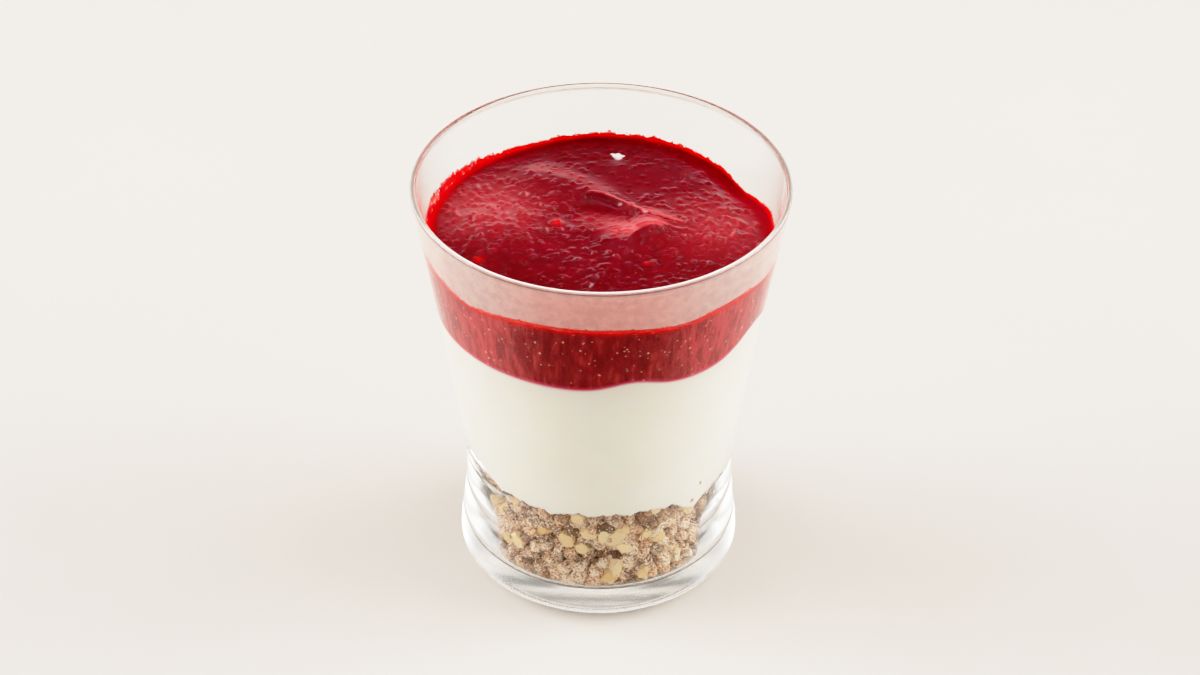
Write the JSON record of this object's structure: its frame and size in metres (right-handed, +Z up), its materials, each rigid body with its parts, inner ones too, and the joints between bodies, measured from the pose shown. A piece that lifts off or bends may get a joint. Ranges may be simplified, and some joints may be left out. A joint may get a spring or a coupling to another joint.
{
  "type": "raw cheesecake cup",
  "caption": "Plain glass tumbler filled with a crumb and nut base, a thick cream layer and fruit coulis on top, for a dessert table.",
  "frame": {"origin": "middle of the foot, at the surface the glass stands on", "axes": "+Z up along the glass's axis, the side shown to the camera faces -Y, +X to its right"},
  "size_m": [0.085, 0.085, 0.1],
  "materials": {
    "glass": "clear polished glass",
    "crumb_base": "matte, crumbly, with pale chopped nuts",
    "cream": "smooth, soft matte cream",
    "coulis": "wet, glossy fruit pulp"
  },
  "bodies": {
    "root": {"glass": "glass", "crumb_base": "crumb_base", "cream": "cream", "coulis": "coulis"}
  },
  "joints": []
}
